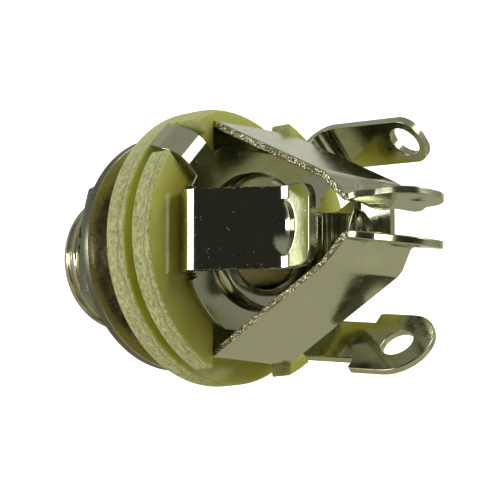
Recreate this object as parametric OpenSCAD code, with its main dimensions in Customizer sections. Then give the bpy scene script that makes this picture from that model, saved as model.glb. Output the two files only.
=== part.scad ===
// Open-frame quarter inch output jack with twin tip springs and twin sleeve springs.
// The jack's axis is X: the threaded bushing points to -X, the springs to +X.
// The origin is the centre of the face that seats on the panel.

/* [Bushing] */
// Outside diameter of the 3/8 inch thread
thread_d = 9.525; // [9:0.005:10]
// Bore that guides the plug
bore_d = 6.4; // [6.36:0.01:6.6]
// Length of thread in front of the panel seat
thread_l = 9.2; // [8:0.1:14]
// Radius on the rolled front lip
front_lip_r = 1.1; // [0.4:0.05:1.2]
// Diameter of the flange that seats on the panel
flange_d = 13.4; // [12:0.1:15]
// Thickness of the flange
flange_t = 1.2; // [0.8:0.05:1.6]
// Outside diameter of the barrel behind the flange
barrel_d = 8.4; // [8:0.05:8.6]
// Outside diameter of the swaged rear lip
swage_d = 9.5; // [9.3:0.05:9.8]
// Height of the swaged lip over the ground ring
swage_h = 0.7; // [0.5:0.05:1]
// Rounding of the bore's two mouths
mouth_r = 0.4; // [0.2:0.05:0.6]
// Rounding of the flange's panel edge
flange_edge = 0.2; // [0.1:0.05:0.4]

/* [Nut and washer] */
// Width of the nut across its flats
nut_af = 12.7; // [12:0.1:14]
// Thickness of the nut
nut_t = 2.4; // [2:0.1:3]
// Angle of the nut about the axis
nut_turn = 5.4; // [0:0.2:30]
// Angle of the nut's corner chamfers
nut_chamfer = 28; // [15:1:35]
// Outside diameter of the flat washer
washer_d = 16.4; // [15:0.1:17]
// Thickness of the flat washer
washer_t = 0.7; // [0.4:0.05:1]
// Room left for the panel between the seat and the washer
panel_gap = 2.05; // [1.5:0.05:4]
// Radial clearance of the nut on the thread
nut_clear = 0.05; // [0.02:0.01:0.1]
// Radial clearance of the washer on the thread
washer_clear = 0.25; // [0.2:0.05:0.4]
// Sideways set of the loose washer
washer_shift = 0.05; // [0:0.05:0.18]

/* [Insulators] */
// Diameter of the punched laminate discs
disc_d = 19.05; // [18.8:0.05:20]
// Thickness of each disc
disc_t = 1.8; // [1.5:0.05:2]
// Rounding of the discs' edges
disc_edge = 0.18; // [0.1:0.01:0.3]
// Wall of the insulating tube round the barrel
tube_wall = 0.5; // [0.3:0.05:0.6]
// Clearance of pieces that slide over the barrel and the tube
stack_clear = 0.05; // [0.02:0.01:0.1]
// Clearance of the lug and the strap in the discs' notches
notch_clear = 0.4; // [0.3:0.05:0.6]
// Clearance beside the arms in the rear disc's notches
arm_clear = 0.1; // [0.05:0.05:0.3]

/* [Tip contact] */
// Thickness of the tip contact's sheet
tip_t = 0.7; // [0.5:0.05:0.8]
// Width of the ring between the discs
tip_ring_w = 1.15; // [0.9:0.05:1.2]
// Radius from the axis to the outside of the arms' root bends
arm_root_r = 8.07; // [7.9:0.01:8.3]
// Inside radius of the arms' root bends
arm_bend_r = 1.35; // [1.2:0.05:1.5]
// Lean of the upper arm towards the axis
upper_arm_angle = 25.2; // [23:0.2:26.6]
// Lean of the lower arm towards the axis
lower_arm_angle = 27; // [24:0.2:27.2]
// Width of an arm
arm_w = 7.2; // [6.4:0.1:7.6]
// Distance along an arm to its shoulders
arm_shoulder_at = 10.7; // [9.5:0.1:11]
// Width of an arm at its fold
arm_fold_w = 4.9; // [4.7:0.1:5.6]
// Distance along an arm to its fold
arm_fold_at = 14; // [13.4:0.1:14.2]
// Inside radius of an arm's fold
arm_fold_r = 0.5; // [0.3:0.05:0.7]
// Flare of the upper tongue away from the axis
upper_flare_angle = -2; // [-6:0.5:10]
// Flare of the lower tongue away from the axis
lower_flare_angle = 9.5; // [-4:0.5:12]
// Width of the tongue past the fold
tongue_w = 4.2; // [3.8:0.1:4.6]
// Length of the tongue past the fold
tongue_l = 3.2; // [2.8:0.1:4]
// Radius of the tongue's corners
tongue_corner_r = 1.5; // [0.8:0.1:1.8]
// Radius of the ball that embosses the arm's fold
arm_ball_r = 3; // [2.6:0.1:3.4]
// Height of the emboss on an arm's fold
arm_emboss_h = 0.25; // [0.15:0.05:0.35]
// Distance of the small dimple past the fold
dimple_at = 1.6; // [1.4:0.1:1.8]
// Radius of the ball that makes the small dimple
dimple_ball_r = 1; // [0.9:0.05:1.1]
// Height of the small dimple
dimple_h = 0.2; // [0.1:0.05:0.25]

/* [Tip lug] */
// Clock angle of the tip lug, from +Y towards +Z
tip_lug_angle = -41; // [-43:1:-40]
// Radius from the axis to the start of the tip lug's bend
tip_lug_root_r = 7.9; // [7.6:0.05:8.2]
// Splay of the tip lug away from the axis
tip_lug_splay = 10; // [4:1:12]
// Width of the tip lug's neck
tip_neck_w = 3.6; // [3.2:0.1:3.8]
// Width of the tip lug's head
tip_head_w = 5.4; // [5:0.1:6]
// Length of the neck past the bend
tip_neck_l = 4.55; // [4:0.05:6]
// Distance from the neck to the centre of the hole
tip_hole_at = 2.8; // [2.6:0.05:3]

/* [Ground contact] */
// Thickness of the ground contact's sheet
ground_t = 0.6; // [0.5:0.05:0.7]
// Outside diameter of the ground ring
ground_ring_d = 14; // [13.4:0.1:14.4]
// Distance across the flats that clear the arms
ground_flats = 12.5; // [11.5:0.1:12.8]
// Width of each sleeve spring
sleeve_w = 5.45; // [5:0.05:5.5]
// Relief slit beside each sleeve spring's root
sleeve_slit = 0.2; // [0.1:0.05:0.3]
// Radius from the axis to the outside of the sleeve springs' root bends
sleeve_root_r = 7.38; // [7.2:0.02:7.6]
// Inside radius of the sleeve springs' root bends
sleeve_bend_r = 0.7; // [0.5:0.05:0.9]
// Lean of the sleeve springs towards the axis
sleeve_lean = 36; // [32:0.5:38]
// Straight length of a sleeve spring from its root bend to its fold
sleeve_riser_l = 6.25; // [5.8:0.05:6.4]
// Inside radius of a sleeve spring's fold
sleeve_fold_r = 0.8; // [0.6:0.05:1]
// Flare of a sleeve spring's end away from the axis
sleeve_flare = 21; // [15:1:30]
// Length of the flared end
sleeve_lip_l = 1.75; // [1.4:0.05:2.2]
// Radius of the flared end's corners
sleeve_corner_r = 1.6; // [1.4:0.1:1.7]
// Radius of the ball that embosses the sleeve spring's fold
sleeve_ball_r = 2.4; // [2.1:0.1:2.5]
// Height of the emboss on a sleeve spring's fold
sleeve_emboss_h = 0.45; // [0.3:0.05:0.5]

/* [Ground strap] */
// Clock angle of the strap, from +Y towards +Z
strap_angle = 136.5; // [132:0.5:140]
// Width of the strap
strap_w = 2.35; // [2:0.05:2.6]
// Inside radius of the strap's bend
strap_bend_r = 0.8; // [0.6:0.05:1]
// Height of the strap over the rear disc's rim
strap_proud = 0.03; // [0:0.01:0.1]
// Length of the strap forward of its bend
strap_l = 1.6; // [1:0.05:1.65]
// Sideways set of the strap's free end
strap_skew = 0.7; // [0:0.05:1]

/* [Ground lug] */
// Clock angle of the ground lug, from +Y towards +Z
ground_lug_angle = 45; // [42:1:48]
// Radius from the axis to the start of the ground lug's bend
ground_lug_root_r = 9.2; // [8.6:0.05:9.6]
// Lean of the ground lug towards the axis
ground_lug_lean = 5; // [0:1:8]
// Width of the ground lug
ground_lug_w = 3.5; // [3:0.1:3.8]
// Length of the ground lug from its bend to the centre of its hole
ground_hole_at = 6.2; // [5:0.1:7]
// Length of the ground lug past the centre of its hole
ground_end = 1.55; // [1.5:0.05:2]

/* [Lugs] */
// Inside radius of the lugs' bends
lug_bend_r = 1; // [0.8:0.05:1.2]
// Diameter of the lugs' holes
lug_hole_d = 2.3; // [2:0.05:2.5]

/* [Hidden] */
$fn = 96;

// Faces of the clamped stack, from the flange back to the swage
front_disc_x = flange_t;
tip_x = front_disc_x + disc_t;
rear_disc_x = tip_x + tip_t;
ground_x = rear_disc_x + disc_t;
swage_x = ground_x + ground_t;
rear_end_x = swage_x + swage_h;

washer_x = -panel_gap - washer_t;
nut_x = washer_x - nut_t;
nut_circle_d = nut_af / cos(30);

tube_id = barrel_d + 2 * stack_clear;
tube_od = tube_id + 2 * tube_wall;
disc_hole_d = tube_od + 2 * stack_clear;
tip_ring_od = disc_hole_d + 2 * tip_ring_w;

arm_bend_at = arm_root_r - arm_bend_r - tip_t;
arm_notch_w = arm_w + 2 * arm_clear;
arm_notch_floor = arm_bend_at - notch_clear / 2;
lug_notch_w = tip_neck_w + 2 * notch_clear;
lug_notch_floor = tip_lug_root_r - notch_clear / 2;

sleeve_bend_at = sleeve_root_r - sleeve_bend_r - ground_t;
strap_bend_at = disc_d / 2 + strap_proud - strap_bend_r - ground_t;
strap_notch_w = strap_w + strap_skew + notch_clear;
strap_notch_floor = strap_bend_at - notch_clear / 4;

arc_steps = 8;
// Rounding of the ground lug's end
lug_corner_r = 1.4;
// Rounding of the arms' shoulders
shoulder_r = 0.9;
// Rounding of the tip lug's shoulders
head_corner_r = 0.3;
// Length over which the fold narrows to the tongue
neck_in = 0.4;
// Length of a flat stretch that lies inside its bend
tuck = 0.15;
// Set of the sheet in a bend towards the bend's centre, and its swell at each edge
swell = 0.02;
// Depth that a boss is sunk into the sheet that carries it
sunk = 0.1;
// Reach of a cutting shape past the solid that it cuts
past = 1;
steel = [0.72, 0.71, 0.66];
brass_plate = [0.66, 0.65, 0.58];
laminate = [0.70, 0.71, 0.38];
tube_colour = [0.86, 0.83, 0.70];

function unit(v) = v / norm(v);

function heading(v) = atan2(v.y, v.x);

function half_turn(a) = a > 180 ? a - 360 : (a < -180 ? a + 360 : a);

// Arc that rounds the corner p by radius r, between its neighbours
function corner(before, p, after, r) =
    r == 0 ? [p] :
    let (
        u = unit(before - p),
        v = unit(after - p),
        half = acos(u * v) / 2,
        centre = p + unit(u + v) * r / sin(half),
        start = heading(p + u * r / tan(half) - centre),
        turn = half_turn(heading(p + v * r / tan(half) - centre) - start)
    )
    [for (i = [0:arc_steps]) let (a = start + turn * i / arc_steps) centre + r * [cos(a), sin(a)]];

// Closed outline through [x, y, corner radius] points
function rounded(points) =
    let (n = len(points), xy = [for (p = points) [p.x, p.y]])
    [for (i = [0:n - 1], q = corner(xy[(i + n - 1) % n], xy[i], xy[(i + 1) % n], points[i].z)) q];

// Turns a shape drawn about Z so that it lies about the jack's axis
module along_axis(x = 0) {
    translate([x, 0, 0])
        rotate([0, 90, 0])
            children();
}

// Places a strip that leaves the axis at a clock angle: local X is the radius,
// local Y the width and local Z points rearward
module spoke(angle, x) {
    translate([x, 0, 0])
        rotate([angle + 90, 0, 0])
            rotate([0, 90, 0])
                children();
}

// Flat stretch of strip from one radius or length to another
module flat_strip(from, to, w, t) {
    translate([from, -w / 2, 0])
        cube([to - from, w, t]);
}

// Flat piece of sheet with the given outline
module plate(outline, t) {
    linear_extrude(t)
        polygon(outline);
}

// Bend of a strip towards local +Z, with its inside radius
module bend_up(a, r, w, t) {
    translate([0, 0, t + r])
        rotate([90, 0, 0])
            rotate([0, 0, -90])
                rotate_extrude(angle = a)
                    translate([r - swell, -w / 2 - swell])
                        square([t, w + 2 * swell]);
}

// Frame at the end of such a bend
module after_bend_up(a, r, t) {
    translate([0, 0, t + r])
        rotate([0, -a, 0])
            translate([0, 0, -t - r])
                children();
}

// Bend of a strip towards local -Z
module bend_down(a, r, w, t) {
    translate([0, 0, t])
        mirror([0, 0, 1])
            bend_up(a, r, w, t);
}

// Frame at the end of such a bend
module after_bend_down(a, r, t) {
    translate([0, 0, -r])
        rotate([0, a, 0])
            translate([0, 0, r])
                children();
}

// Side view of the space inside a fold, as seen from the crest of the fold
module fold_inside(lean, flare, crest_r, reach) {
    centre = [0, -crest_r - sunk];
    lean_side = [-sin(lean), cos(lean)];
    flare_side = [sin(flare), cos(flare)];
    lean_leg = centre + crest_r * lean_side - reach * [cos(lean), sin(lean)];
    flare_leg = centre + crest_r * flare_side + reach * [cos(flare), -sin(flare)];
    translate(centre)
        circle(crest_r);
    polygon([centre, centre + crest_r * lean_side, lean_leg, [0, -2 * reach], flare_leg,
        centre + crest_r * flare_side]);
}

// Round boss that a ball presses out of the crest of a fold, towards the axis
module fold_boss(lean, flare, r, t, ball_r, h) {
    reach = 3 * ball_r;
    difference() {
        translate([0, 0, h - ball_r])
            sphere(ball_r);
        rotate([90, 0, 0])
            linear_extrude(reach, center = true)
                fold_inside(lean, flare, r + t - sunk, reach);
    }
}

// Dish that the same ball leaves on the other side
module fold_dish(t, ball_r, h) {
    translate([0, 0, h - ball_r])
        sphere(ball_r - t);
}

// Frame on the crest of a fold, with local Z towards the axis
module at_crest(lean, r, t) {
    translate([0, 0, -r])
        rotate([0, lean, 0])
            translate([0, 0, r + t])
                children();
}

module bushing() {
    color(brass_plate)
        along_axis()
            difference() {
                rotate_extrude()
                    polygon(rounded([
                        [bore_d / 2, -thread_l, mouth_r],
                        [thread_d / 2, -thread_l, front_lip_r],
                        [thread_d / 2, 0, 0],
                        [flange_d / 2, 0, flange_edge],
                        [flange_d / 2, flange_t, 0],
                        [barrel_d / 2, flange_t, 0],
                        [barrel_d / 2, swage_x, 0],
                        [swage_d / 2, swage_x, swage_h / 5],
                        [swage_d / 2, rear_end_x, swage_h * 0.6],
                        [bore_d / 2, rear_end_x, mouth_r]
                    ]));
                translate([0, 0, -thread_l - past])
                    cylinder(d = bore_d, h = rear_end_x + thread_l + 2 * past);
            }
}

module hex_nut() {
    cone_h = (nut_circle_d - nut_af) / 2 * tan(nut_chamfer);
    color(steel)
        rotate([-nut_turn, 0, 0])
            along_axis(nut_x)
                difference() {
                    intersection() {
                        cylinder(d = nut_circle_d, h = nut_t, $fn = 6);
                        rotate_extrude()
                            polygon([[0, 0], [nut_af / 2, 0], [nut_circle_d / 2, cone_h],
                                [nut_circle_d / 2, nut_t - cone_h], [nut_af / 2, nut_t], [0, nut_t]]);
                    }
                    translate([0, 0, -past])
                        cylinder(d = thread_d + 2 * nut_clear, h = nut_t + 2 * past);
                }
}

module flat_washer() {
    color(steel)
        translate([0, 0, washer_shift])
            along_axis(washer_x)
                difference() {
                    cylinder(d = washer_d, h = washer_t);
                    translate([0, 0, -past])
                        cylinder(d = thread_d + 2 * washer_clear, h = washer_t + 2 * past);
                }
}

// Punched disc with its hole for the insulating tube
module blank_disc() {
    difference() {
        rotate_extrude()
            polygon(rounded([[0, 0, 0], [disc_d / 2, 0, disc_edge], [disc_d / 2, disc_t, disc_edge],
                [0, disc_t, 0]]));
        translate([0, 0, -past])
            cylinder(d = disc_hole_d, h = disc_t + 2 * past);
    }
}

// Square notch cut inwards from the rim to a floor
module rim_notch(angle, floor_r, w, shift = 0) {
    spoke(angle, rear_disc_x - past)
        translate([0, shift, 0])
            flat_strip(floor_r, disc_d, w, disc_t + 2 * past);
}

module front_insulator() {
    color(laminate)
        along_axis(front_disc_x)
            blank_disc();
}

module insulating_tube() {
    color(tube_colour)
        along_axis(front_disc_x)
            difference() {
                cylinder(d = tube_od, h = ground_x - front_disc_x);
                translate([0, 0, -past])
                    cylinder(d = tube_id, h = ground_x - front_disc_x + 2 * past);
            }
}

module rear_insulator() {
    color(laminate)
        difference() {
            along_axis(rear_disc_x)
                blank_disc();
            for (side = [90, -90])
                rim_notch(side, arm_notch_floor, arm_notch_w);
            rim_notch(tip_lug_angle, lug_notch_floor, lug_notch_w);
            rim_notch(strap_angle, strap_notch_floor, strap_notch_w, -strap_skew / 2);
        }
}

// Tongue past an arm's fold, with its corners rounded
module tongue() {
    plate(rounded([
        [-tuck, -arm_fold_w / 2, 0],
        [0, -arm_fold_w / 2, 0],
        [neck_in, -tongue_w / 2, neck_in],
        [tongue_l, -tongue_w / 2, tongue_corner_r],
        [tongue_l, tongue_w / 2, tongue_corner_r],
        [neck_in, tongue_w / 2, neck_in],
        [0, arm_fold_w / 2, 0],
        [-tuck, arm_fold_w / 2, 0]
    ]), tip_t);
    translate([dimple_at, 0, tip_t + dimple_h - dimple_ball_r])
        intersection() {
            sphere(dimple_ball_r);
            translate([0, 0, dimple_ball_r - dimple_h - sunk])
                cylinder(r = dimple_ball_r, h = dimple_ball_r);
        }
}

// Flat length of an arm from its root bend to its fold, narrowing past its shoulders
module arm_blade() {
    plate(rounded([
        [-tuck, -arm_w / 2, 0],
        [arm_shoulder_at, -arm_w / 2, shoulder_r],
        [arm_fold_at, -arm_fold_w / 2, 0],
        [arm_fold_at + tuck, -arm_fold_w / 2, 0],
        [arm_fold_at + tuck, arm_fold_w / 2, 0],
        [arm_fold_at, arm_fold_w / 2, 0],
        [arm_shoulder_at, arm_w / 2, shoulder_r],
        [-tuck, arm_w / 2, 0]
    ]), tip_t);
}

module tip_arm(angle, lean, flare) {
    fold = lean + flare;
    spoke(angle, tip_x) {
        flat_strip(disc_hole_d / 2 + tip_ring_w / 2, arm_bend_at + tuck, arm_w, tip_t);
        translate([arm_bend_at, 0, 0]) {
            bend_up(90 + lean, arm_bend_r, arm_w, tip_t);
            after_bend_up(90 + lean, arm_bend_r, tip_t)
                difference() {
                    union() {
                        arm_blade();
                        translate([arm_fold_at, 0, 0]) {
                            bend_down(fold, arm_fold_r, arm_fold_w, tip_t);
                            after_bend_down(fold, arm_fold_r, tip_t)
                                tongue();
                            at_crest(lean, arm_fold_r, tip_t)
                                fold_boss(lean, flare, arm_fold_r, tip_t, arm_ball_r, arm_emboss_h);
                        }
                    }
                    translate([arm_fold_at, 0, 0])
                        at_crest(lean, arm_fold_r, tip_t)
                            fold_dish(tip_t, arm_ball_r, arm_emboss_h);
                }
        }
    }
}

// Solder lug with a head wider than its neck
module tip_lug() {
    turn = 90 - tip_lug_splay;
    head_r = tip_head_w / 2;
    spoke(tip_lug_angle, tip_x) {
        flat_strip(disc_hole_d / 2 + tip_ring_w / 2, tip_lug_root_r + tuck, tip_neck_w, tip_t);
        translate([tip_lug_root_r, 0, 0]) {
            bend_up(turn, lug_bend_r, tip_neck_w, tip_t);
            after_bend_up(turn, lug_bend_r, tip_t)
                difference() {
                    union() {
                        flat_strip(-tuck, tip_neck_l + sunk, tip_neck_w, tip_t);
                        plate(rounded([
                            [tip_neck_l, -head_r, head_corner_r],
                            [tip_neck_l + tip_hole_at, -head_r, 0],
                            [tip_neck_l + tip_hole_at, head_r, 0],
                            [tip_neck_l, head_r, head_corner_r]
                        ]), tip_t);
                        translate([tip_neck_l + tip_hole_at, 0, 0])
                            cylinder(r = head_r, h = tip_t);
                    }
                    translate([tip_neck_l + tip_hole_at, 0, -past])
                        cylinder(d = lug_hole_d, h = tip_t + 2 * past);
                }
        }
    }
}

module tip_contact() {
    color(steel) {
        along_axis(tip_x)
            difference() {
                cylinder(d = tip_ring_od, h = tip_t);
                translate([0, 0, -past])
                    cylinder(d = disc_hole_d, h = tip_t + 2 * past);
            }
        tip_arm(90, upper_arm_angle, upper_flare_angle);
        tip_arm(-90, lower_arm_angle, lower_flare_angle);
        tip_lug();
    }
}

// Ring under the swage, with flats that clear the arms and room for the root bends
module ground_ring() {
    along_axis(ground_x)
        difference() {
            intersection() {
                cylinder(d = ground_ring_d, h = ground_t);
                translate([-ground_flats / 2, -ground_ring_d / 2, 0])
                    cube([ground_flats, ground_ring_d, ground_t]);
            }
            translate([0, 0, -past])
                cylinder(d = tube_id, h = ground_t + 2 * past);
            for (side = [0, 180])
                rotate([0, 0, side])
                    translate([-sleeve_w / 2 - sleeve_slit, sleeve_bend_at - sleeve_slit, -past])
                        cube([sleeve_w + 2 * sleeve_slit, ground_ring_d, ground_t + 2 * past]);
        }
}

module sleeve_spring(angle) {
    fold = sleeve_lean + sleeve_flare;
    spoke(angle, ground_x) {
        flat_strip(tube_od / 2, sleeve_bend_at + tuck, sleeve_w, ground_t);
        translate([sleeve_bend_at, 0, 0]) {
            bend_up(90 + sleeve_lean, sleeve_bend_r, sleeve_w, ground_t);
            after_bend_up(90 + sleeve_lean, sleeve_bend_r, ground_t)
                difference() {
                    union() {
                        flat_strip(-tuck, sleeve_riser_l + tuck, sleeve_w, ground_t);
                        translate([sleeve_riser_l, 0, 0]) {
                            bend_down(fold, sleeve_fold_r, sleeve_w, ground_t);
                            after_bend_down(fold, sleeve_fold_r, ground_t)
                                plate(rounded([
                                    [-tuck, -sleeve_w / 2, 0],
                                    [sleeve_lip_l, -sleeve_w / 2, sleeve_corner_r],
                                    [sleeve_lip_l, sleeve_w / 2, sleeve_corner_r],
                                    [-tuck, sleeve_w / 2, 0]
                                ]), ground_t);
                            at_crest(sleeve_lean, sleeve_fold_r, ground_t)
                                fold_boss(sleeve_lean, sleeve_flare, sleeve_fold_r, ground_t,
                                    sleeve_ball_r, sleeve_emboss_h);
                        }
                    }
                    translate([sleeve_riser_l, 0, 0])
                        at_crest(sleeve_lean, sleeve_fold_r, ground_t)
                            fold_dish(ground_t, sleeve_ball_r, sleeve_emboss_h);
                }
        }
    }
}

// Strap that folds forward over the rear disc's rim
module ground_strap() {
    spoke(strap_angle, ground_x) {
        flat_strip(tube_od / 2, strap_bend_at + tuck, strap_w, ground_t);
        translate([strap_bend_at, 0, 0]) {
            bend_down(90, strap_bend_r, strap_w, ground_t);
            after_bend_down(90, strap_bend_r, ground_t)
                plate([
                    [-tuck, -strap_w / 2],
                    [0, -strap_w / 2],
                    [strap_l, -strap_w / 2 - strap_skew],
                    [strap_l, strap_w / 2 - strap_skew],
                    [0, strap_w / 2],
                    [-tuck, strap_w / 2]
                ], ground_t);
        }
    }
}

// Plain solder lug with a round end
module ground_lug() {
    turn = 90 + ground_lug_lean;
    spoke(ground_lug_angle, ground_x) {
        flat_strip(tube_od / 2, ground_lug_root_r + tuck, ground_lug_w, ground_t);
        translate([ground_lug_root_r, 0, 0]) {
            bend_up(turn, lug_bend_r, ground_lug_w, ground_t);
            after_bend_up(turn, lug_bend_r, ground_t)
                difference() {
                    plate(rounded([
                        [-tuck, -ground_lug_w / 2, 0],
                        [ground_hole_at + ground_end, -ground_lug_w / 2, lug_corner_r],
                        [ground_hole_at + ground_end, ground_lug_w / 2, lug_corner_r],
                        [-tuck, ground_lug_w / 2, 0]
                    ]), ground_t);
                    translate([ground_hole_at, 0, -past])
                        cylinder(d = lug_hole_d, h = ground_t + 2 * past);
                }
        }
    }
}

module ground_contact() {
    color(steel) {
        ground_ring();
        sleeve_spring(0);
        sleeve_spring(180);
        ground_strap();
        ground_lug();
    }
}

bushing();
hex_nut();
flat_washer();
front_insulator();
insulating_tube();
tip_contact();
rear_insulator();
ground_contact();
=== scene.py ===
from math import ceil, copysign, cos, hypot, pi, radians, sin, sqrt, tan

import bmesh
import bpy
from mathutils import Matrix, Vector


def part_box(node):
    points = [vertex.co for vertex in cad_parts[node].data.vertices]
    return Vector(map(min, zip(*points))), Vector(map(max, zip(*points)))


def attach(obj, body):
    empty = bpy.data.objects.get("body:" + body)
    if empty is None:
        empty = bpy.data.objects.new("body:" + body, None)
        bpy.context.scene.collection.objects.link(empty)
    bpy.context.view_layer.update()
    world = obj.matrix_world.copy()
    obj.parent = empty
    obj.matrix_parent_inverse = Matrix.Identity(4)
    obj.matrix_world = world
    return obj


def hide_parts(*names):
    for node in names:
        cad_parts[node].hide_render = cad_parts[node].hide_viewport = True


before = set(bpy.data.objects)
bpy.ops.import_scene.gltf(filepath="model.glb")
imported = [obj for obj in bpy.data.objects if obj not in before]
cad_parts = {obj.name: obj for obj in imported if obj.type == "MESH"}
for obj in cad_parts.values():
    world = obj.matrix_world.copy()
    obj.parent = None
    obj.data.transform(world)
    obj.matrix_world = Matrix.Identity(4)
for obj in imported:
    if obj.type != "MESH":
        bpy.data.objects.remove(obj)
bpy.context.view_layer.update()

# Bushing: one piece turned from brass bar and nickel plated. The thread takes the panel nut, the flange seats
# behind the panel, and the barrel carries the stack that the swaged rear lip clamps together.
mm = 0.001
bore_r = 3.2
thread_r = 4.7625
thread_pitch = 25.4 / 32
thread_depth = 0.42
thread_turn = 0.202
thread_start = -8.35
thread_end = -0.55
thread_lead_in = 0.3
thread_run_out = 0.7
thread_crest = 0.2
thread_flank = 0.24
thread_undercut = 0.08
nose_x = -9.2
lip_r = 1.1
mouth_r = 0.4
flange_r = 6.7
flange_t = 1.2
flange_round = 0.2
barrel_r = 4.2
swage_r = 4.75
swage_x = 6.1
swage_step = 0.15
swage_round = 0.14
tail_x = 6.8
tail_round = 0.42
turned_steps = 144
rows_a_turn = 14


def arc(centre, radius, start, end, steps):
    """Points on an arc, from one angle in degrees to another."""
    angles = [radians(start + (end - start) * i / steps) for i in range(steps + 1)]
    return [(centre[0] + radius * cos(a), centre[1] + radius * sin(a)) for a in angles]


def turn_profile(bm, profile, steps):
    """Spins a closed outline of (x, radius) points about the jack's axis."""
    verts = [bm.verts.new((x, 0, r)) for x, r in profile]
    edges = [bm.edges.new((verts[i - 1], verts[i])) for i in range(len(verts))]
    bmesh.ops.spin(bm, geom=verts + edges, cent=(0, 0, 0), axis=(1, 0, 0), angle=2 * pi,
                   steps=steps, use_merge=True)
    bmesh.ops.remove_doubles(bm, verts=bm.verts, dist=0.0005)


def add_object(name, data):
    """A new object in the scene."""
    made = bpy.data.objects.new(name, data)
    bpy.context.scene.collection.objects.link(made)
    return made


def make_piece(bm, name, node):
    """Takes a shape drawn in millimetres into the scene, in place of a node of the frame."""
    bmesh.ops.scale(bm, vec=(mm, mm, mm), verts=bm.verts)
    mesh = bpy.data.meshes.new(name)
    bm.to_mesh(mesh)
    bm.free()
    mesh.shade_smooth()
    piece = add_object(name, mesh)
    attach(piece, "root")
    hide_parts(node)
    return piece


thread_l = thread_end - thread_start
rows = int(thread_l / thread_pitch * rows_a_turn)
thread_rows = [(thread_start + thread_l * i / rows, thread_r) for i in range(rows + 1)]
profile = (
    arc((nose_x + mouth_r, bore_r + mouth_r), mouth_r, 270, 180, 5)
    + arc((nose_x + lip_r, thread_r - lip_r), lip_r, 180, 90, 10)
    + thread_rows
    + [(-thread_undercut, thread_r), (0, thread_r + thread_undercut)]
    + arc((flange_round, flange_r - flange_round), flange_round, 180, 90, 4)
    + [(flange_t, flange_r), (flange_t, barrel_r), (swage_x, barrel_r), (swage_x, swage_r - swage_step)]
    + arc((swage_x + swage_round, swage_r - swage_round), swage_round, 180, 90, 3)[1:]
    + arc((tail_x - tail_round, swage_r - tail_round), tail_round, 90, 0, 6)
    + arc((tail_x - mouth_r, bore_r + mouth_r), mouth_r, 0, -90, 5)
)
bm = bmesh.new()
turn_profile(bm, profile, turned_steps)
for v in bm.verts:
    radius = sqrt(v.co.y ** 2 + v.co.z ** 2)
    if thread_start < v.co.x < thread_end and radius > thread_r - 0.01:
        turn = (Vector((v.co.y, v.co.z)).angle_signed(Vector((0, 1))) / (2 * pi)) % 1
        phase = (v.co.x / thread_pitch - turn - thread_turn) % 1
        flank = min(max((min(phase, 1 - phase) - thread_crest) / thread_flank, 0), 1)
        groove = flank * flank * (3 - 2 * flank)
        run_out = min((v.co.x - thread_start) / thread_lead_in, (thread_end - v.co.x) / thread_run_out, 1)
        shrink = 1 - groove * run_out * thread_depth / radius
        v.co.y *= shrink
        v.co.z *= shrink
bmesh.ops.recalc_face_normals(bm, faces=bm.faces)
bushing = make_piece(bm, "bushing_turned", "bushing")
bushing.data.set_sharp_from_angle(angle=radians(38))


def add_node(tree, kind, inputs=None, **settings):
    """Adds a shader node, sets its properties, and fills or links its inputs by name or number."""
    node = tree.nodes.new(kind)
    for key, value in settings.items():
        setattr(node, key, value)
    for key, value in (inputs or {}).items():
        if isinstance(value, bpy.types.NodeSocket):
            tree.links.new(value, node.inputs[key])
        else:
            node.inputs[key].default_value = value
    return node


def ramp(tree, value, low, high, to_low=0.0, to_high=1.0):
    """A value stretched smoothly from one range to another."""
    node = add_node(tree, "ShaderNodeMapRange", {0: value, 1: low, 2: high, 3: to_low, 4: to_high},
                    interpolation_type="SMOOTHSTEP")
    return node.outputs[0]


def blend(tree, factor, a, b):
    """Two colours mixed by a mask."""
    return add_node(tree, "ShaderNodeMix", {0: factor, 6: a, 7: b}, data_type="RGBA").outputs[2]


def calc(tree, operation, a, b=0.0):
    """One arithmetic step between two values."""
    return add_node(tree, "ShaderNodeMath", {0: a, 1: b}, operation=operation).outputs[0]


def new_group(name, inputs, outputs):
    """A shader node group with named values as its inputs and outputs."""
    tree = bpy.data.node_groups.new(name, "ShaderNodeTree")
    for key, value in inputs.items():
        tree.interface.new_socket(key, in_out="INPUT", socket_type="NodeSocketFloat").default_value = value
    for key in outputs:
        tree.interface.new_socket(key, in_out="OUTPUT", socket_type="NodeSocketFloat")
    return tree, add_node(tree, "NodeGroupInput").outputs, add_node(tree, "NodeGroupOutput")


def new_material(name):
    """An empty material with its shader and output, ready for a surface."""
    material = bpy.data.materials.new(name)
    material.use_nodes = True
    tree = material.node_tree
    tree.nodes.clear()
    shader = add_node(tree, "ShaderNodeBsdfPrincipled")
    add_node(tree, "ShaderNodeOutputMaterial", {"Surface": shader.outputs[0]})
    return material, tree, shader


def noise(tree, where, scale, detail, rough=0.5):
    """A noise pattern at a scale, with finer detail in it."""
    inputs = {"Vector": where, "Scale": scale, "Detail": detail, "Roughness": rough}
    return add_node(tree, "ShaderNodeTexNoise", inputs).outputs[0]


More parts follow.
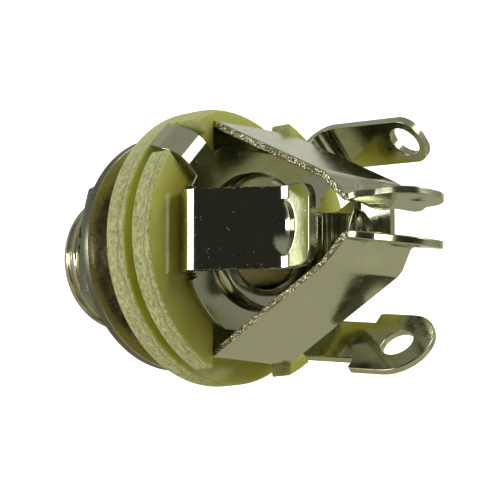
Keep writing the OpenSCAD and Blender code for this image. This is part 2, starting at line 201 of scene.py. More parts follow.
# The plating's own surface: slow waves of a stamped or turned blank, a bloom of duller nickel, and small pits.
grit_height = 0.012
streak_height = 0.02
pit_depth = 0.12
pit_rough = 0.55
bloom_share = 0.6
streak_share = 0.4
plate, given, result = new_group(
    "nickel_surface", {"Waves": 1.0, "Streaks": 1.0, "Pits": 1.0}, ("Tone", "Dullness", "Specks", "Height"))
where = add_node(plate, "ShaderNodeTexCoord").outputs["Object"]
slow = noise(plate, where, 260.0, 2.0)
haze = noise(plate, where, 900.0, 6.0, 0.7)
grit = noise(plate, where, 9000.0, 3.0)
along = add_node(plate, "ShaderNodeMapping", {"Vector": where, "Scale": (0.05, 1.0, 1.0)}).outputs[0]
drawn = noise(plate, along, 5200.0, 3.0, 0.6)
cells = add_node(plate, "ShaderNodeTexVoronoi", {"Vector": where, "Scale": 2800.0, "Randomness": 1.0})
chosen = add_node(plate, "ShaderNodeSeparateColor", {0: cells.outputs["Color"]}).outputs[0]
spot = ramp(plate, cells.outputs["Distance"], 0.05, 0.2, 1.0, 0.0)
spot = calc(plate, "MULTIPLY", spot, ramp(plate, chosen, 0.56, 0.6))
pits = calc(plate, "MULTIPLY", spot, given["Pits"])
bloom = ramp(plate, haze, 0.35, 0.75)
streaks = calc(plate, "MULTIPLY", ramp(plate, drawn, 0.3, 0.7), given["Streaks"])
waves = calc(plate, "MULTIPLY", slow, given["Waves"])
height = calc(plate, "ADD", waves, calc(plate, "MULTIPLY", grit, grit_height))
height = calc(plate, "ADD", height, calc(plate, "MULTIPLY", streaks, streak_height))
height = calc(plate, "SUBTRACT", height, calc(plate, "MULTIPLY", pits, pit_depth))
dull_streaks = calc(plate, "MULTIPLY", streaks, streak_share)
tone = calc(plate, "ADD", calc(plate, "MULTIPLY", bloom, bloom_share), dull_streaks)
for key, value in (("Tone", tone), ("Dullness", bloom), ("Specks", pits), ("Height", height)):
    plate.links.new(value, result.inputs[key])


def raise_surface(tree, shader, height, distance):
    """Gives a surface its fine relief."""
    bump = add_node(tree, "ShaderNodeBump", {"Height": height, "Strength": 1.0, "Distance": distance})
    tree.links.new(bump.outputs[0], shader.inputs["Normal"])


def nickel(name, bright, dull, smooth, rough, waves, streaks, pits, wave_height):
    """A nickel-plated surface between a bright and a dull tone."""
    material, tree, shader = new_material(name)
    amounts = {"Waves": waves, "Streaks": streaks, "Pits": pits}
    surface = add_node(tree, "ShaderNodeGroup", amounts, node_tree=plate).outputs
    colour = blend(tree, surface["Tone"], (*bright, 1), (*dull, 1))
    tree.links.new(colour, shader.inputs["Base Color"])
    roughness = ramp(tree, surface["Dullness"], 0.0, 1.0, smooth, rough)
    specks = calc(tree, "MULTIPLY", surface["Specks"], pit_rough)
    tree.links.new(calc(tree, "MAXIMUM", roughness, specks), shader.inputs["Roughness"])
    raise_surface(tree, shader, surface["Height"], wave_height)
    shader.inputs["Metallic"].default_value = 1.0
    return material


fine_wave = 0.00002
bushing.data.materials.append(nickel(
    "turned_nickel", bright=(0.66, 0.635, 0.50), dull=(0.54, 0.51, 0.38), smooth=0.12, rough=0.24,
    waves=0.25, streaks=0.0, pits=0.4, wave_height=fine_wave))

# Insulating discs: punched from olive laminate sheet, and clamped on both sides of the tip contact's ring.
# Their faces are smooth and a little glossy. The punched rims and notches are torn, pale and fibrous, in layers
# that lie parallel to the faces. Near the rim the faces carry a painted glow of light, stronger at the top, and
# the rims are painted lighter towards the top.
face_brown = (0.50, 0.46, 0.065, 1)
face_olive = (0.64, 0.60, 0.11, 1)
# Painted light: a lime glow of light through the laminate, laid on the faces near the rim
painted_glow_lime = (0.82, 0.87, 0.22, 1)
rim_olive = (0.47, 0.48, 0.19, 1)
rim_pale = (0.86, 0.88, 0.50, 1)
# Painted light: a paler rim colour that stands in for the light on the tops of the rims
rim_painted_light = (0.93, 0.96, 0.46, 1)
rim_dark = (0.13, 0.125, 0.04, 1)
first_disc_x = 0.0012
disc_pitch = 0.0025
disc_t = 0.0018
crack_at = 0.72
crack_wander = 0.7
crack_dark = 0.7
torn_height = 0.00012
torn_share = 0.5
sunk_share = 0.3
weave_share = 0.008
laminate, tree, shader = new_material("olive_laminate")
where = add_node(tree, "ShaderNodeTexCoord").outputs["Object"]
normal = add_node(tree, "ShaderNodeNewGeometry").outputs["Normal"]
facing = add_node(tree, "ShaderNodeSeparateXYZ", {0: normal}).outputs[0]
cut = ramp(tree, calc(tree, "ABSOLUTE", facing), 0.55, 0.9, 1.0, 0.0)
layers = add_node(tree, "ShaderNodeMapping", {"Vector": where, "Scale": (1.6, 1.0, 1.0)}).outputs[0]
torn = noise(tree, layers, 2600.0, 8.0, 0.75)
lumps = noise(tree, layers, 600.0, 4.0)
cloud = noise(tree, where, 300.0, 3.0)
weave = noise(tree, where, 5200.0, 3.0)
place = add_node(tree, "ShaderNodeSeparateXYZ", {0: where}).outputs
radius = calc(tree, "ADD", calc(tree, "POWER", place[1], 2.0), calc(tree, "POWER", place[2], 2.0))
radius = calc(tree, "ADD", calc(tree, "SQRT", radius), calc(tree, "MULTIPLY", cloud, 0.0008))
# Painted light: the faces turn to the lime glow near the rim, more strongly towards the top
outer = ramp(tree, radius, 0.0078, 0.0098)
outer = calc(tree, "MULTIPLY", outer, ramp(tree, place[2], -0.004, 0.004, 0.45, 1.0))
face_colour = blend(tree, ramp(tree, cloud, 0.3, 0.7), face_brown, face_olive)
face_colour = blend(tree, outer, face_colour, painted_glow_lime)
depth = calc(tree, "DIVIDE", calc(tree, "SUBTRACT", place[0], first_disc_x), disc_pitch)
depth = calc(tree, "MULTIPLY", calc(tree, "FRACT", depth), disc_pitch / disc_t)
wander = calc(tree, "MULTIPLY", calc(tree, "SUBTRACT", lumps, 0.5), crack_wander)
crack = calc(tree, "SUBTRACT", calc(tree, "ADD", depth, wander), crack_at)
crack = ramp(tree, calc(tree, "ABSOLUTE", crack), 0.02, 0.09, 1.0, 0.0)
crack = calc(tree, "MULTIPLY", crack, ramp(tree, torn, 0.45, 0.6))
holes = ramp(tree, noise(tree, layers, 3600.0, 2.0), 0.28, 0.37, 0.75, 0.0)
# Painted light: the rims turn paler towards the top, and their dark cracks and holes fade there
painted_top_light = ramp(tree, place[2], 0.003, 0.009, 0.0, 0.65)
dark = calc(tree, "MAXIMUM", calc(tree, "MULTIPLY", crack, crack_dark), holes)
dark = calc(tree, "MULTIPLY", dark, calc(tree, "SUBTRACT", 1.0, painted_top_light))
rim_colour = blend(tree, ramp(tree, torn, 0.36, 0.64), rim_olive, rim_pale)
rim_colour = blend(tree, painted_top_light, rim_colour, rim_painted_light)
rim_colour = blend(tree, dark, rim_colour, rim_dark)
tree.links.new(blend(tree, cut, face_colour, rim_colour), shader.inputs["Base Color"])
tree.links.new(ramp(tree, cut, 0.0, 1.0, 0.16, 0.9), shader.inputs["Roughness"])
relief = calc(tree, "ADD", calc(tree, "MULTIPLY", torn, torn_share), lumps)
relief = calc(tree, "SUBTRACT", relief, calc(tree, "MULTIPLY", dark, sunk_share))
relief = calc(tree, "MULTIPLY", relief, cut)
relief = calc(tree, "ADD", relief, calc(tree, "MULTIPLY", weave, weave_share))
raise_surface(tree, shader, relief, torn_height)
shader.inputs["Subsurface Weight"].default_value = 0.25
shader.inputs["Subsurface Radius"].default_value = (0.0009, 0.0009, 0.0002)
shader.inputs["Subsurface Scale"].default_value = 1.0
for node in ("front_insulator", "rear_insulator"):
    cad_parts[node].data.materials.clear()
    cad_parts[node].data.materials.append(laminate)

# Insulating tube: a thin-walled tube wound from fibre paper. It slides over the barrel, keeps the tip contact's
# ring off it, and is hidden in the stack.
fibre_dark = (0.55, 0.50, 0.34, 1)
fibre_pale = (0.72, 0.68, 0.52, 1)
fibre, tree, shader = new_material("tube_fibre")
where = add_node(tree, "ShaderNodeTexCoord").outputs["Object"]
winding = noise(tree, where, 2400.0, 5.0)
tree.links.new(blend(tree, winding, fibre_dark, fibre_pale), shader.inputs["Base Color"])
tree.links.new(ramp(tree, winding, 0.3, 0.7, 0.6, 0.8), shader.inputs["Roughness"])
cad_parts["insulating_tube"].data.materials.clear()
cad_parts["insulating_tube"].data.materials.append(fibre)

# Tip contact: one blank stamped from spring sheet and nickel plated. A ring between the discs carries two long
# arms, folded back and embossed where they meet the plug, and the lower solder lug.
tip_t = 0.52
tip_rear_x = 3.7
tip_hole_r = 4.8
tip_ring_r = 5.95
tip_ring_steps = 144
tip_edge_r = 0.1
rim_margin = 0.1
arm_half = 3.6
arm_root_r = 8.07
arm_bend_r = 1.35
arm_bend_at = arm_root_r - arm_bend_r - tip_t
arm_knee_at = 10.7
arm_knee_turn = 22.5
arm_knee_r = 1.6
arm_knee_l = 1.55
arm_fold_half = 3.25
arm_fold_r = 0.5
arm_boss_r = 1.6
arm_boss_h = 0.32
arm_boss_at = -0.25
arm_step = 0.16
neck_at = 0.3
neck_l = 1.5
tongue_half = 2.45
tongue_l = 4.24
tongue_corner_r = 2.05
dimple_at = 2.75
dimple_r = 0.46
dimple_depth = 0.1
dimple_margin = 0.15
# Each arm's clock angle, its lean to the axis, and the flare and the twist of its tongue, in degrees
arms = ((90, 24.6, 0.5, 3.0), (-90, 26.6, 9.5, 0.0))
tip_lug_clock = -41
tip_lug_flat = 7.9
tip_lug_bend_r = 1.0
tip_lug_turn = 80
tip_neck_half = 1.8
tip_neck_l = 4.55
tip_head_half = 2.7
tip_head_corner_r = 0.3
tip_hole_at = 2.8
lug_hole_r = 1.15
lug_l = 10.0
lug_step = 0.5
# Faces with this material are the tongues and the lug, and those without it the long arms and the ring
sheet_index = 2


def unit_axes(clock):
    """The radius and the width of a strip that leaves the axis at a clock angle, from +Y towards +Z."""
    a = radians(clock)
    return Vector((0, cos(a), sin(a))), Vector((0, -sin(a), cos(a)))


def follow(path, s):
    """Radius, rearward height and heading after a length s of strip, along straight and bent stretches."""
    r = h = heading = 0.0
    for i, (length, turn) in enumerate(path):
        d = s if i == len(path) - 1 else min(s, length)
        if turn:
            bend_r = length / turn
            r += bend_r * (sin(heading + d / bend_r) - sin(heading))
            h += bend_r * (cos(heading) - cos(heading + d / bend_r))
            heading += d / bend_r
        else:
            r += d * cos(heading)
            h += d * sin(heading)
        s -= d
    return r, h, heading


def stops(path, start, end, step, marks=()):
    """Stations along a strip: close together in the bends, and at the marked lengths."""
    found = {round(end, 4)}
    at = 0.0
    for i, (length, turn) in enumerate(path):
        length = end - at if i == len(path) - 1 else length
        n = ceil(abs(turn) / radians(6)) if turn else ceil(length / step)
        found |= {round(at + length * k / n, 4) for k in range(n + 1)}
        at += length
    found |= {round(m, 4) for m in marks}
    kept = []
    for s in sorted(found):
        if start + 0.05 < s <= end + 1e-4 and (not kept or s - kept[-1] > 0.02):
            kept.append(s)
    return kept


def flat_ring(bm, x, inner, outer, steps):
    """A flat ring of sheet about the axis."""
    bmesh.ops.create_circle(bm, radius=inner, segments=steps)
    bmesh.ops.create_circle(bm, radius=outer, segments=steps)
    bmesh.ops.bridge_loops(bm, edges=bm.edges)
    bmesh.ops.rotate(bm, cent=(0, 0, 0), matrix=Matrix.Rotation(pi / 2, 3, "Y"), verts=bm.verts)
    bmesh.ops.translate(bm, vec=(x, 0, 0), verts=bm.verts)


def cut_line(bm, faces, point, normal, clear=False):
    """Cuts some faces of the sheet along a line, and takes off what lies beyond it if asked."""
    geom = list({g for f in faces for g in (f, *f.edges, *f.verts)})
    bmesh.ops.bisect_plane(bm, geom=geom, plane_co=point, plane_no=normal, dist=0.001, clear_outer=clear)


def root_edges(bm, clock, half, beyond, cuts=0):
    """The stretch of the ring's rim, beyond a radius, that a strip of this half width grows from."""
    radial, across = unit_axes(clock)

    def on_rim():
        middle = {e: (e.verts[0].co + e.verts[1].co) / 2 for e in bm.edges if e.is_boundary}
        return [e for e, m in middle.items() if m.yz.length > beyond and m.dot(radial) > 0
                and abs(m.dot(across)) < half and max(v.co.x for v in e.verts) < m.x + 0.001]

    if cuts:
        bmesh.ops.subdivide_edges(bm, edges=on_rim(), cuts=cuts)
    return on_rim()


def next_row(bm, edges):
    """Draws a row of edges out into a new one, and gives the new row's points and edges."""
    drawn = bmesh.ops.extrude_edge_only(bm, edges=edges)["geom"]
    row = {g for g in drawn if isinstance(g, bmesh.types.BMVert)}
    return row, [g for g in drawn if isinstance(g, bmesh.types.BMEdge) and set(g.verts) <= row]


def draw_strip(bm, edges, clock, x, path, stations, half_at, shape=None):
    """Draws a strip out of the rim, one station after another, along its folded path."""
    radial, across = unit_axes(clock)
    widths = sorted({v: v.co.dot(across) for e in edges for v in e.verts}.values())
    shares = [(w - widths[0]) / (widths[-1] - widths[0]) * 2 - 1 for w in widths]
    for s in stations:
        row, edges = next_row(bm, edges)
        r, h, heading = follow(path, s)
        for v, share in zip(sorted(row, key=lambda v: v.co.dot(across)), shares):
            w = share * half_at(s)
            v.co = radial * r + across * w + Vector((x + h, 0, 0))
            if shape:
                v.co += shape(s, w)
    return edges


def cap(distance, radius, height):
    """Height of a round boss pressed with a ball, at a distance from its middle."""
    ball_r = (radius ** 2 + height ** 2) / (2 * height)
    return sqrt(ball_r ** 2 - distance ** 2) - (ball_r - height) if distance < radius else 0.0


def inward(path, clock, s):
    """Direction in which a strip's inner side faces at a length s."""
    heading = follow(path, s)[2]
    return Vector((cos(heading), 0, 0)) - unit_axes(clock)[0] * sin(heading)


def to_rim(along, w, radius, reach):
    """Sideways step that brings a point near a boss's round rim onto the rim."""
    step = sqrt(max(radius ** 2 - along ** 2, 0)) - abs(w)
    return copysign(step, w) if abs(along) < radius and abs(step) < reach else 0.0


def smooth_step(value, low, high):
    """A smooth change from 0 to 1 between two values."""
    k = min(max((value - low) / (high - low), 0), 1)
    return k * k * (3 - 2 * k)


def close_end(bm, edges, clock, x, path, outline, ring_s=None, ring_r=0.0, shape=None):
    """Fills a strip's flat end from its last row to an outline, round a ring if asked, and gives the ring."""
    radial, across = unit_axes(clock)

    def place(s, w):
        r, h, heading = follow(path, s)
        at = radial * r + across * w + Vector((x + h, 0, 0))
        return bm.verts.new(at + shape(s, w) if shape else at)

    ends = [v for e in edges for v in e.verts if sum(v in other.verts for other in edges) == 1]
    first, last = sorted(ends, key=lambda v: v.co.dot(across))
    rim = [first] + [place(s, w) for s, w in outline] + [last]
    loop = [bm.edges.new((a, b)) for a, b in zip(rim, rim[1:])]
    ring = []
    if ring_s:
        around = [2 * pi * i / 40 for i in range(40)]
        points = [place(ring_s + ring_r * cos(a), ring_r * sin(a)) for a in around]
        ring = [bm.edges.new((points[i - 1], points[i])) for i in range(40)]
    bmesh.ops.triangle_fill(bm, use_beauty=True, use_dissolve=False, edges=edges + loop + ring)
    return ring


def round_tip(half, corner, end, steps=14):
    """Outline of a strip's end with rounded corners, from one side to the other."""
    return (arc((end - corner, corner - half), corner, -90, 0, steps)
            + arc((end - corner, half - corner), corner, 0, 90, steps))


def press_dimple(bm, ring, depth, direction):
    """Presses the sheet inside a ring into a round dimple."""
    middle = sum((v.co for e in ring for v in e.verts), Vector()) / (2 * len(ring))
    radius = (ring[0].verts[0].co - middle).length
    for share in (0.85, 0.65, 0.42, 0.2):
        row, ring = next_row(bm, ring)
        sunk = direction * cap(radius * share, radius, depth)
        for v in row:
            flat = v.co - middle
            flat -= direction * flat.dot(direction)
            v.co = middle + flat.normalized() * radius * share + sunk
    bmesh.ops.edgeloop_fill(bm, edges=ring)


def sheet_piece(bm, name, node, rear_x, thickness, edge_r):
    """Makes a folded sheet a solid stamping: its thickness, and the small rounding of its edges."""
    bmesh.ops.recalc_face_normals(bm, faces=bm.faces)
    ring_face = min(bm.faces, key=lambda f: abs(f.calc_center_median().x - rear_x))
    if ring_face.normal.x < 0:
        bmesh.ops.reverse_faces(bm, faces=bm.faces)
    piece = make_piece(bm, name, node)
    solid = piece.modifiers.new("sheet", "SOLIDIFY")
    solid.thickness = thickness * mm
    solid.offset = -1
    solid.use_even_offset = True
    solid.material_offset_rim = 1
    rounding = piece.modifiers.new("rolled_edges", "BEVEL")
    rounding.width = edge_r * mm
    rounding.segments = 3
    rounding.limit_method = "ANGLE"
    rounding.angle_limit = radians(50)
    rounding.use_clamp_overlap = False
    rounding.harden_normals = True
    return piece


bm = bmesh.new()
flat_ring(bm, tip_rear_x, tip_hole_r, tip_ring_r, tip_ring_steps)
for clock, lean, flare, twist in arms:
    fold_turn = radians(lean + arm_knee_turn + flare)
    path = [
        (arm_bend_at, 0),
        (arm_bend_r * radians(90 + lean), radians(90 + lean)),
        (arm_knee_at, 0),
        (arm_knee_r * radians(arm_knee_turn), radians(arm_knee_turn)),
        (arm_knee_l, 0),
        ((arm_fold_r + tip_t) * fold_turn, -fold_turn),
        (tongue_l, 0),
    ]
    knee_s = sum(length for length, turn in path[:4])
    fold_s = knee_s + arm_knee_l
    tongue_s = fold_s + path[5][0]
    neck_s = tongue_s + neck_at
    end_s = tongue_s + tongue_l

    def arm_half_at(s):
        taper = min(max((s - knee_s) / arm_knee_l, 0), 1) * (arm_half - arm_fold_half)
        neck = smooth_step(s, neck_s, neck_s + neck_l) * (arm_fold_half - tongue_half)
        return arm_half - taper - neck

    boss_s = fold_s + arm_boss_at
    dimple_s = tongue_s + dimple_at

    def arm_set(s, w):
        part = smooth_step(s, fold_s, neck_s + neck_l)
        lift = (w + tongue_half) * sin(radians(twist)) * part
        pressed = cap(hypot(s - boss_s, w), arm_boss_r, arm_boss_h)
        return Vector((0, 0, lift)) + inward(path, clock, s) * pressed

    rim = root_edges(bm, clock, arm_half, tip_ring_r - rim_margin)
    neck_curve = [neck_s + neck_l * k / 8 for k in range(9)]
    stations = stops(path, tip_ring_r, dimple_s - dimple_r - dimple_margin, arm_step, neck_curve)
    rim = draw_strip(bm, rim, clock, tip_rear_x, path, stations, arm_half_at, arm_set)
    outline = round_tip(tongue_half, tongue_corner_r, end_s)
    ring = close_end(bm, rim, clock, tip_rear_x, path, outline, dimple_s, dimple_r, arm_set)
    press_dimple(bm, ring, dimple_depth, -inward(path, clock, end_s))
    tongue_x = tip_rear_x + follow(path, tongue_s)[1]
    for face in bm.faces:
        if face.calc_center_median().x > tongue_x:
            face.material_index = sheet_index

spring_faces = set(bm.faces)
lug_bend = radians(tip_lug_turn)
path = [(tip_lug_flat, 0), (tip_lug_bend_r * lug_bend, lug_bend), (lug_l, 0)]
neck_end = path[0][0] + path[1][0] + tip_neck_l
hole_s = neck_end + tip_hole_at
rim = root_edges(bm, tip_lug_clock, tip_neck_half, tip_ring_r - rim_margin)
rim = [e for e in rim if all(v.co.yz.length < tip_ring_r + 0.05 for v in e.verts)]
stations = stops(path, tip_ring_r, neck_end, lug_step)
rim = draw_strip(bm, rim, tip_lug_clock, tip_rear_x, path, stations, lambda s: tip_neck_half)
corner_s = neck_end + tip_head_corner_r
outline = (
    arc((corner_s, -tip_head_half + tip_head_corner_r), tip_head_corner_r, 180, 270, 4)
    + arc((hole_s, 0), tip_head_half, -90, 90, 30)
    + arc((corner_s, tip_head_half - tip_head_corner_r), tip_head_corner_r, 90, 180, 4)
)
close_end(bm, rim, tip_lug_clock, tip_rear_x, path, outline, hole_s, lug_hole_r)
for face in set(bm.faces) - spring_faces:
    face.material_index = sheet_index
tip_contact = sheet_piece(bm, "tip_contact_stamped", "tip_contact", tip_rear_x, tip_t, tip_edge_r)
sheet_nickel = nickel(
    "sheet_nickel", bright=(0.66, 0.67, 0.50), dull=(0.59, 0.595, 0.43), smooth=0.10, rough=0.17,
    waves=0.25, streaks=1.0, pits=1.0, wave_height=fine_wave)
arm_nickel = nickel(
    "arm_nickel", bright=(0.66, 0.67, 0.51), dull=(0.60, 0.605, 0.45), smooth=0.13, rough=0.2,
    waves=0.25, streaks=0.6, pits=1.0, wave_height=fine_wave)

# The sheared edge of the long arms: a rough, sparkling break that the plating doesn't level.
break_dark = (0.16, 0.145, 0.075, 1)
break_glint = (0.64, 0.61, 0.42, 1)
break_height = 0.00007
tarnish_share = 0.25
sheared_edge, tree, shader = new_material("sheared_nickel_edge")
where = add_node(tree, "ShaderNodeTexCoord").outputs["Object"]
break_grain = noise(tree, where, 8500.0, 2.0, 0.6)
tarnish = calc(tree, "MULTIPLY", noise(tree, where, 700.0, 2.0), tarnish_share)
glint = ramp(tree, calc(tree, "ADD", break_grain, tarnish), 0.62, 0.71)
tree.links.new(blend(tree, glint, break_dark, break_glint), shader.inputs["Base Color"])
tree.links.new(ramp(tree, glint, 0.0, 1.0, 0.55, 0.22), shader.inputs["Roughness"])
raise_surface(tree, shader, break_grain, break_height)
shader.inputs["Metallic"].default_value = 1.0

# The tongues and the lugs have smoother, trimmed edges. A face's edge takes the material after the face's own.
trimmed_edge = nickel(
    "trimmed_edge", bright=(0.62, 0.62, 0.45), dull=(0.50, 0.49, 0.34), smooth=0.2, rough=0.3,
    waves=0.2, streaks=0.0, pits=0.5, wave_height=fine_wave)
for material in (arm_nickel, sheared_edge, sheet_nickel, trimmed_edge):
    tip_contact.data.materials.append(material)

# Ground contact: the second stamping, under the swaged lip. Its ring carries two sleeve springs, folded and
# dished where they touch the plug, a strap folded forward over the rim, and the plain upper lug.
ground_t = 0.6
ground_rear_x = 6.1
ground_hole_r = 4.25
ground_ring_r = 7.0
ground_ring_steps = 160
ground_flat = 6.25
ground_edge_r = 0.06
sleeve_half = 2.725
sleeve_slit = 0.2
sleeve_slit_from = 4.5
sleeve_clear_from = 3.5
sleeve_root_r = 7.38
sleeve_bend_r = 0.7
sleeve_bend_at = sleeve_root_r - sleeve_bend_r - ground_t
sleeve_lean = 36
sleeve_riser = 5.35
sleeve_fold_r = 1.2
sleeve_flare = 9.5
sleeve_lip = 2.15
sleeve_corner_r = 1.15
sleeve_dish_r = 1.95
sleeve_dish_l = 1.41
sleeve_dish_depth = 0.42
sleeve_dish_snap = 0.034
sleeve_flat_l = 0.86
sleeve_step = 0.2
strap_clock = 136.5
strap_half = 1.175
strap_proud = 0.03
strap_bend_r = 1.2
strap_l = 1.2
strap_skew = -0.7
strap_skew_from = 1.4
strap_skew_l = 1.6
strap_step = 0.4
strap_beyond = 9
disc_r = 9.525
strap_bend_at = disc_r + strap_proud - strap_bend_r - ground_t
ground_lug_clock = 45
ground_lug_flat = 9.2
ground_lug_bend_r = 1.0
ground_lug_turn = 95
ground_lug_half = 1.75
ground_lug_corner_r = 1.4
ground_hole_at = 6.2
ground_lug_end = 1.55
ground_head_from = 1.7
bm = bmesh.new()
flat_ring(bm, ground_rear_x, ground_hole_r, ground_ring_r, ground_ring_steps)


def faces_beside(bm, side, beyond, half):
    """Faces of the ring on one side, beyond a distance from the axis and within a half width."""
    middle = {f: f.calc_center_median() for f in bm.faces}
    return [f for f, m in middle.items() if side * m.y > beyond and abs(m.z) < half]


slot_half = sleeve_half + sleeve_slit
root_at = sleeve_bend_at - sleeve_slit
for side in (1, -1):
    cut_line(bm, list(bm.faces), (0, 0, side * ground_flat), (0, 0, side), clear=True)
    for edge in (slot_half, -slot_half):
        near = faces_beside(bm, side, sleeve_slit_from, slot_half + 1)
        cut_line(bm, near, (0, 0, edge), (0, 0, 1))
    inside = faces_beside(bm, side, sleeve_clear_from, slot_half)
    cut_line(bm, inside, (0, side * root_at, 0), (0, side, 0), clear=True)
    for edge in (sleeve_half, -sleeve_half):
        near = faces_beside(bm, side, sleeve_slit_from, slot_half)
        cut_line(bm, near, (0, 0, edge), (0, 0, 1))
sleeve_bend = radians(90 + sleeve_lean)
sleeve_fold = radians(sleeve_lean + sleeve_flare)
for clock in (0, 180):
    path = [
        (sleeve_bend_at, 0),
        (sleeve_bend_r * sleeve_bend, sleeve_bend),
        (sleeve_riser, 0),
        ((sleeve_fold_r + ground_t) * sleeve_fold, -sleeve_fold),
        (sleeve_lip, 0),
    ]
    riser_s = path[0][0] + path[1][0]
    fold_s = riser_s + path[2][0]
    lip_s = fold_s + path[3][0]
    end_s = lip_s + path[4][0]
    boss_s = (fold_s + lip_s) / 2

    def sleeve_set(s, w):
        along = (s - boss_s) * sleeve_dish_r / sleeve_dish_l
        w_step = to_rim(along, w, sleeve_dish_r, sleeve_dish_snap)
        pressed = cap(hypot(along, w + w_step), sleeve_dish_r, sleeve_dish_depth)
        return unit_axes(clock)[1] * w_step + inward(path, clock, s) * pressed

    rim = root_edges(bm, clock, sleeve_half, root_at - 0.05, cuts=2)
    dish_rows = [boss_s + sleeve_dish_l * k / 24 for k in range(-25, 26)]
    stations = stops(path, root_at, lip_s + sleeve_flat_l, sleeve_step, dish_rows)
    rim = draw_strip(bm, rim, clock, ground_rear_x, path, stations, lambda s: sleeve_half, sleeve_set)
    close_end(bm, rim, clock, ground_rear_x, path, round_tip(sleeve_half, sleeve_corner_r, end_s))

path = [(strap_bend_at, 0), ((strap_bend_r + ground_t) * radians(90), -radians(90)), (strap_l, 0)]
strap_s = path[0][0] + path[1][0]
rim = root_edges(bm, strap_clock, strap_half, ground_ring_r - rim_margin)
stations = stops(path, ground_ring_r, strap_s + strap_l, strap_step)
draw_strip(bm, rim, strap_clock, ground_rear_x, path, stations, lambda s: strap_half)
strap_radial, strap_across = unit_axes(strap_clock)
skew_x = ground_rear_x - strap_skew_from
for v in bm.verts:
    if v.co.dot(strap_radial) > strap_beyond and v.co.x < skew_x:
        v.co += strap_across * strap_skew * (skew_x - v.co.x) / strap_skew_l

lug_bend = radians(ground_lug_turn)
path = [(ground_lug_flat, 0), (ground_lug_bend_r * lug_bend, lug_bend), (lug_l, 0)]
hole_s = path[0][0] + path[1][0] + ground_hole_at
end_s = hole_s + ground_lug_end
rim = root_edges(bm, ground_lug_clock, ground_lug_half, ground_ring_r - rim_margin)
stations = stops(path, ground_ring_r, hole_s - ground_head_from, lug_step)
rim = draw_strip(bm, rim, ground_lug_clock, ground_rear_x, path, stations, lambda s: ground_lug_half)
outline = round_tip(ground_lug_half, ground_lug_corner_r, end_s, 10)
close_end(bm, rim, ground_lug_clock, ground_rear_x, path, outline, hole_s, lug_hole_r)
ground_contact = sheet_piece(
    bm, "ground_contact_stamped", "ground_contact", ground_rear_x, ground_t, ground_edge_r)
ground_contact.data.materials.append(sheet_nickel)
ground_contact.data.materials.append(trimmed_edge)

# Flat washer: punched from plated steel, with the slight roll of a punched edge. It sits loose on the thread
# under the nut, so its hole lies a little off the axis. Its rim is a duller copy of the plating, darkened
# further with painted shade.
washer_front, washer_back = (corner.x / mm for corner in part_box("flat_washer"))
washer_bore_r = 5.0125
washer_r = 8.2
washer_edge_r = 0.1
washer_lift = 0.05
washer_steps = 160
washer_wave = 0.00003
bm = bmesh.new()
turn_profile(bm, [
    (washer_front, washer_bore_r), (washer_front, washer_r),
    (washer_back, washer_r), (washer_back, washer_bore_r)], washer_steps)
sharp = [e for e in bm.edges if e.calc_face_angle(0) > radians(60)]
bmesh.ops.bevel(bm, geom=sharp, offset=washer_edge_r, affect="EDGES", segments=3, profile=0.5, material=-1)
bmesh.ops.translate(bm, vec=(0, 0, washer_lift), verts=bm.verts)
bmesh.ops.recalc_face_normals(bm, faces=bm.faces)
washer = make_piece(bm, "flat_washer_punched", "flat_washer")
washer.data.set_sharp_from_angle(angle=radians(40))
washer.data.materials.append(nickel(
    "washer_nickel", bright=(0.56, 0.54, 0.45), dull=(0.44, 0.42, 0.34), smooth=0.24, rough=0.4,
    waves=0.6, streaks=0.0, pits=1.0, wave_height=washer_wave))
# The rim takes a darker copy of the plating: a duller edge finish, darkened further with painted shade
washer.data.materials.append(nickel(
    "dull_edge_painted_shade", bright=(0.24, 0.24, 0.18), dull=(0.15, 0.15, 0.115), smooth=0.3, rough=0.45,
    waves=0.4, streaks=0.0, pits=0.8, wave_height=fine_wave))
# Faces that don't face along the axis, the rim and its rounding, take the painted-shade edge
for face in washer.data.polygons:
    face.material_index = int(abs(face.normal.x) < 0.5)

# Hexagon nut: turned from hexagon bar and nickel plated, with its corners chamfered on both faces and its edges
# broken. It runs on the bushing's thread, and clamps the panel against the flange.
nut_front, nut_back = (corner.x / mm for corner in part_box("hex_nut"))
nut_flat_r = 6.35
nut_corner_r = nut_flat_r / cos(radians(30))
nut_bore_r = 4.8125
nut_turn = 5.4
nut_chamfer_turn = 28
nut_edge_r = 0.08
nut_flat_ease = 0.9995
chamfer = (nut_corner_r - nut_flat_r) * tan(radians(nut_chamfer_turn))
bm = bmesh.new()
turn_profile(bm, [
    (nut_front, nut_bore_r), (nut_front, nut_flat_r), (nut_front + chamfer, nut_corner_r),
    (nut_back - chamfer, nut_corner_r), (nut_back, nut_flat_r), (nut_back, nut_bore_r)], turned_steps)
for k in range(6):
    a = radians(30 + 60 * k - nut_turn)
    flat = Vector((0, sin(a), -cos(a)))
    everything = bm.verts[:] + bm.edges[:] + bm.faces[:]
    sawn = bmesh.ops.bisect_plane(bm, geom=everything, plane_co=flat * nut_flat_r * nut_flat_ease,
                                  plane_no=flat, dist=0.0005, clear_outer=True)["geom_cut"]
    bmesh.ops.edgeloop_fill(bm, edges=[g for g in sawn if isinstance(g, bmesh.types.BMEdge)])
bmesh.ops.recalc_face_normals(bm, faces=bm.faces)
sharp = [e for e in bm.edges if e.calc_face_angle(0) > radians(22)]
bmesh.ops.bevel(bm, geom=sharp, offset=nut_edge_r, affect="EDGES", segments=3, profile=0.5, material=-1)
nut = make_piece(bm, "hex_nut_turned", "hex_nut")
nut.data.set_sharp_from_angle(angle=radians(30))
nut.data.materials.append(nickel(
    "nut_nickel", bright=(0.34, 0.34, 0.255), dull=(0.25, 0.25, 0.18), smooth=0.15, rough=0.26,
    waves=0.4, streaks=0.0, pits=0.8, wave_height=fine_wave))

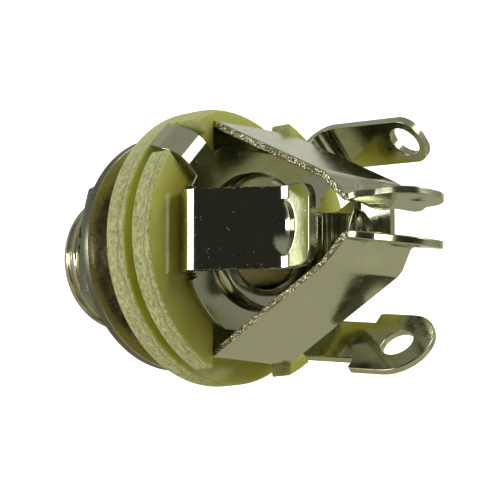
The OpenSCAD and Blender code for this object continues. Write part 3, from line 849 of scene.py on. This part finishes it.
# Studio: a pale painted floor well below the jack, which ends a little in front of it, a soft box at the right,
# a brighter one at the left, and a pale surround that is dark low down towards the camera.
floor_z = -0.036
floor_half = 1.5
floor_edge = 0.05
floor_turn = 45.4
floor_glow = 0.45
bm = bmesh.new()
bmesh.ops.create_grid(bm, x_segments=2, y_segments=2, size=floor_half)
bmesh.ops.translate(bm, vec=(0, floor_half - floor_edge, floor_z), verts=bm.verts)
turn = Matrix.Rotation(radians(floor_turn), 3, "Z")
bmesh.ops.rotate(bm, cent=(0, 0, 0), matrix=turn, verts=bm.verts)
floor_mesh = bpy.data.meshes.new("floor")
bm.to_mesh(floor_mesh)
bm.free()
floor = add_object("floor", floor_mesh)
floor_paint, tree, shader = new_material("floor_paint")
shader.inputs["Base Color"].default_value = (0.80, 0.775, 0.62, 1)
shader.inputs["Roughness"].default_value = 0.7
shader.inputs["Emission Color"].default_value = (1, 1, 0.98, 1)
seen = add_node(tree, "ShaderNodeLightPath").outputs["Is Camera Ray"]
tree.links.new(calc(tree, "MULTIPLY", seen, floor_glow), shader.inputs["Emission Strength"])
floor_mesh.materials.append(floor_paint)

# The camera stands a little below the jack's axis, behind its springs, and looks along the photograph's line.
camera_at = Vector((144.24, -136.89, -28.45)) * mm
out = Vector((0.7052, -0.6947, -0.1421))
camera_data = bpy.data.cameras.new("camera")
camera_data.lens = 208.3
camera_data.sensor_width = 36.0
camera_data.sensor_fit = "HORIZONTAL"
camera_data.clip_start = 0.005
camera_data.clip_end = 20
camera = add_object("camera", camera_data)
camera.location = camera_at
camera.rotation_euler = out.to_track_quat("Z", "Y").to_euler()
bpy.context.scene.camera = camera


def soft_box(name, place, size_x, size_y, brightness, colour):
    """A rectangular soft box that faces the jack, with the brightness of its cloth."""
    light = bpy.data.lights.new(name, "AREA")
    light.shape = "RECTANGLE"
    light.size = size_x
    light.size_y = size_y
    light.energy = brightness * pi * size_x * size_y
    light.color = colour
    box = add_object(name, light)
    box.location = place
    box.rotation_euler = Vector(place).to_track_quat("Z", "Y").to_euler()


cloth_white = (1, 0.99, 0.95)
soft_box("right_box", (0.282, 0.144, 0.172), size_x=0.2, size_y=0.19, brightness=3.2, colour=cloth_white)
soft_box("left_box", (-0.134, -0.377, 0.028), size_x=0.315, size_y=0.112, brightness=6.2, colour=cloth_white)

# The surround is pale behind the jack, darker towards the camera, and white where the camera sees it.
room_colour = (1, 1, 0.88, 1)
camera_side = (0.712, -0.702, 0.0)
white_glow = 1.2
world = bpy.data.worlds.new("surround")
bpy.context.scene.world = world
world.use_nodes = True
tree = world.node_tree
tree.nodes.clear()
direction = add_node(tree, "ShaderNodeTexCoord").outputs["Generated"]
front = add_node(tree, "ShaderNodeVectorMath", {0: direction, 1: camera_side}, operation="DOT_PRODUCT")
towards = front.outputs["Value"]
height = add_node(tree, "ShaderNodeSeparateXYZ", {0: direction}).outputs[2]
shade = ramp(tree, towards, -0.2, 0.6, 0.0, 0.92)
shade = calc(tree, "MULTIPLY", shade, ramp(tree, height, 0.3, 0.6, 1.0, 0.0))
room = ramp(tree, towards, -0.92, -0.48, 0.6, 0.31)
room = calc(tree, "MULTIPLY", room, calc(tree, "SUBTRACT", 1.0, shade))
seen = add_node(tree, "ShaderNodeLightPath").outputs["Is Camera Ray"]
strength = calc(tree, "ADD", room, calc(tree, "MULTIPLY", seen, white_glow))
back = add_node(tree, "ShaderNodeBackground", {"Color": room_colour, "Strength": strength})
add_node(tree, "ShaderNodeOutputWorld", {"Surface": back.outputs[0]})
bpy.context.scene.view_settings.view_transform = "Standard"
